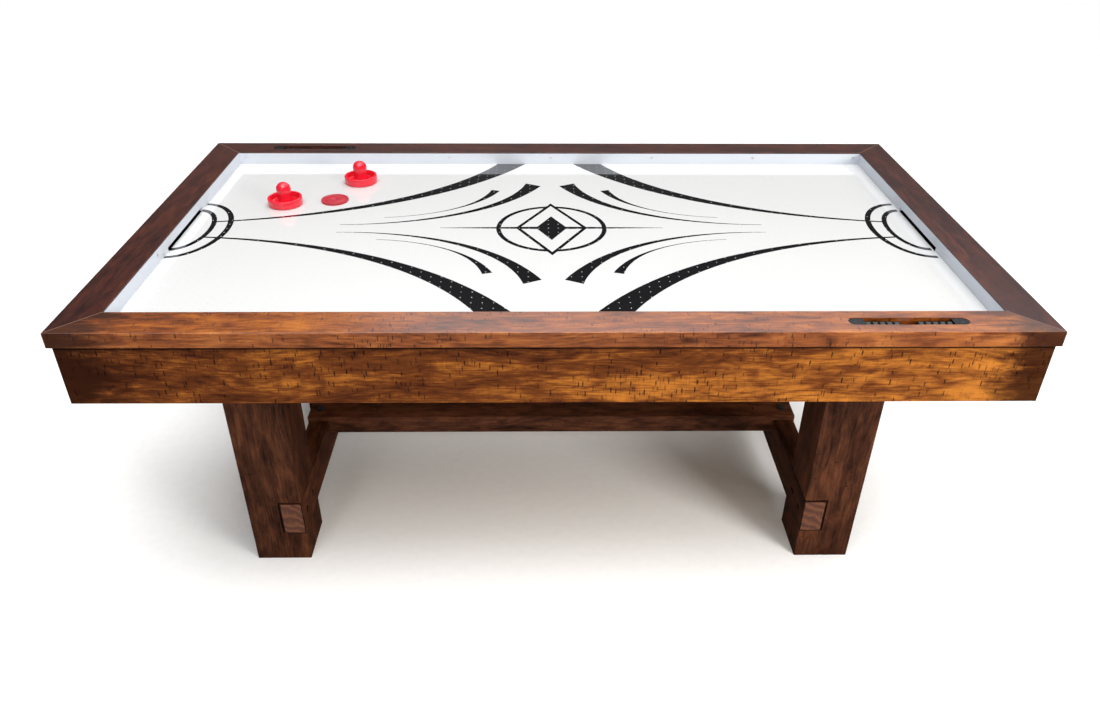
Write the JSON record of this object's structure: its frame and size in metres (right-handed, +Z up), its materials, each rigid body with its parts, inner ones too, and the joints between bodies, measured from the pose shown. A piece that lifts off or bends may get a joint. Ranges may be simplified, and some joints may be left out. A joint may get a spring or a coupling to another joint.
{
  "type": "air hockey table",
  "caption": "Wooden air hockey table on square legs with a stretcher underframe, air-blown playfield, bead scorers, mallets and puck.",
  "frame": {"origin": "on the floor under the middle of the table", "axes": "+X along the table to the right, +Y to the back, +Z up"},
  "size_m": [2.08, 1.17, 0.8405],
  "materials": {
    "rail_wood": "satin lacquered, distressed hardwood",
    "apron_wood": "satin lacquered, distressed hardwood",
    "leg_wood": "dark satin lacquered hardwood",
    "carcass_wood": "bare plywood and softwood",
    "bank_white": "gloss white laminate",
    "field_white": "gloss white laminate with black line figures",
    "panel_grey": "bare hardboard",
    "screw_steel": "zinc-plated steel",
    "bolt_black": "black oxide steel",
    "tray_black": "black powder coat",
    "blower_black": "moulded black plastic",
    "motor_metal": "pressed steel",
    "cap_black": "moulded black plastic",
    "pin_brass": "plain brass",
    "lead_black": "black sheath",
    "rod_steel": "bright drawn steel",
    "bead_black": "polished black plastic",
    "mallet_red": "gloss red plastic",
    "felt_grey": "dense felt",
    "puck_red": "worn red plastic"
  },
  "bodies": {
    "table": {"rail_front": "rail_wood", "rail_back": "rail_wood", "rail_left": "rail_wood", "rail_right": "rail_wood", "bank_front": "bank_white", "bank_back": "bank_white", "bank_left": "bank_white", "bank_right": "bank_white", "bank_screws": "screw_steel", "apron_front": "apron_wood", "apron_back": "apron_wood", "apron_left": "apron_wood", "apron_right": "apron_wood", "corner_blocks": "carcass_wood", "playfield": "field_white", "plenum_frame": "carcass_wood", "plenum_base": "panel_grey", "puck_tray_left": "tray_black", "puck_tray_right": "tray_black", "leg_front_left": "leg_wood", "leg_front_right": "leg_wood", "leg_back_left": "leg_wood", "leg_back_right": "leg_wood", "stretcher_bolts": "bolt_black", "leg_bolts": "bolt_black", "stretcher_left": "leg_wood", "stretcher_right": "leg_wood", "centre_beam": "leg_wood", "beam_bolts": "bolt_black", "cross_member_left": "carcass_wood", "cross_member_right": "carcass_wood", "blower_housing": "blower_black", "blower_motor": "motor_metal", "blower_guard": "screw_steel", "switch_housing": "cap_black", "power_inlet": "cap_black", "inlet_pins": "pin_brass", "power_lead": "lead_black", "lead_clips": "cap_black", "scorer_rod_front": "rod_steel", "scorer_rod_back": "rod_steel", "scorer_caps": "cap_black", "scorer_screws": "screw_steel"},
    "blower_rotor": {"blower_impeller": "blower_black", "blower_shaft": "rod_steel"},
    "rocker": {"switch_rocker": "cap_black"},
    "goal_mallet": {"mallet_1": "mallet_red", "mallet_felt_1": "felt_grey"},
    "strike_mallet": {"mallet_2": "mallet_red", "mallet_felt_2": "felt_grey"},
    "puck": {"puck": "puck_red"},
    "front_left_outer_beads": {"beads_front_left_outer": "bead_black"},
    "front_left_inner_bead": {"bead_front_left_inner": "bead_black"},
    "front_right_outer_beads": {"beads_front_right_outer": "bead_black"},
    "front_right_inner_bead": {"bead_front_right_inner": "bead_black"},
    "back_left_outer_beads": {"beads_back_left_outer": "bead_black"},
    "back_left_inner_bead": {"bead_back_left_inner": "bead_black"},
    "back_right_outer_beads": {"beads_back_right_outer": "bead_black"},
    "back_right_inner_bead": {"bead_back_right_inner": "bead_black"}
  },
  "joints": [
    {"name": "blower_spin", "type": "hinge", "parent": "table", "child": "blower_rotor", "pos_m": [0, 0, 0.69], "axis": [0, 0, 1], "continuous": true},
    {"name": "switch_rock", "type": "hinge", "parent": "table", "child": "rocker", "pos_m": [-0.42, 0.575, 0.69], "axis": [1, 0, 0], "range_deg": [-18, 0]},
    {"name": "goal_mallet_slide", "type": "slide", "parent": "table", "child": "goal_mallet", "axis": [0, 1, 0], "range_m": [-0.625, 0.273]},
    {"name": "strike_mallet_slide", "type": "slide", "parent": "table", "child": "strike_mallet", "axis": [1, 0, 0], "range_m": [-0.078, 1.459]},
    {"name": "puck_slide", "type": "slide", "parent": "table", "child": "puck", "axis": [1, 0, 0], "range_m": [-0.04, 1.519]},
    {"name": "score_front_left_outer", "type": "slide", "parent": "table", "child": "front_left_outer_beads", "axis": [1, 0, 0], "range_m": [0, 0.0085]},
    {"name": "score_front_left_inner", "type": "slide", "parent": "front_left_outer_beads", "child": "front_left_inner_bead", "axis": [1, 0, 0], "range_m": [0, 0.0085]},
    {"name": "score_front_right_outer", "type": "slide", "parent": "table", "child": "front_right_outer_beads", "axis": [-1, 0, 0], "range_m": [0, 0.0085]},
    {"name": "score_front_right_inner", "type": "slide", "parent": "front_right_outer_beads", "child": "front_right_inner_bead", "axis": [-1, 0, 0], "range_m": [0, 0.0085]},
    {"name": "score_back_left_outer", "type": "slide", "parent": "table", "child": "back_left_outer_beads", "axis": [1, 0, 0], "range_m": [0, 0.0085]},
    {"name": "score_back_left_inner", "type": "slide", "parent": "back_left_outer_beads", "child": "back_left_inner_bead", "axis": [1, 0, 0], "range_m": [0, 0.0085]},
    {"name": "score_back_right_outer", "type": "slide", "parent": "table", "child": "back_right_outer_beads", "axis": [-1, 0, 0], "range_m": [0, 0.0085]},
    {"name": "score_back_right_inner", "type": "slide", "parent": "back_right_outer_beads", "child": "back_right_inner_bead", "axis": [-1, 0, 0], "range_m": [0, 0.0085]}
  ]
}
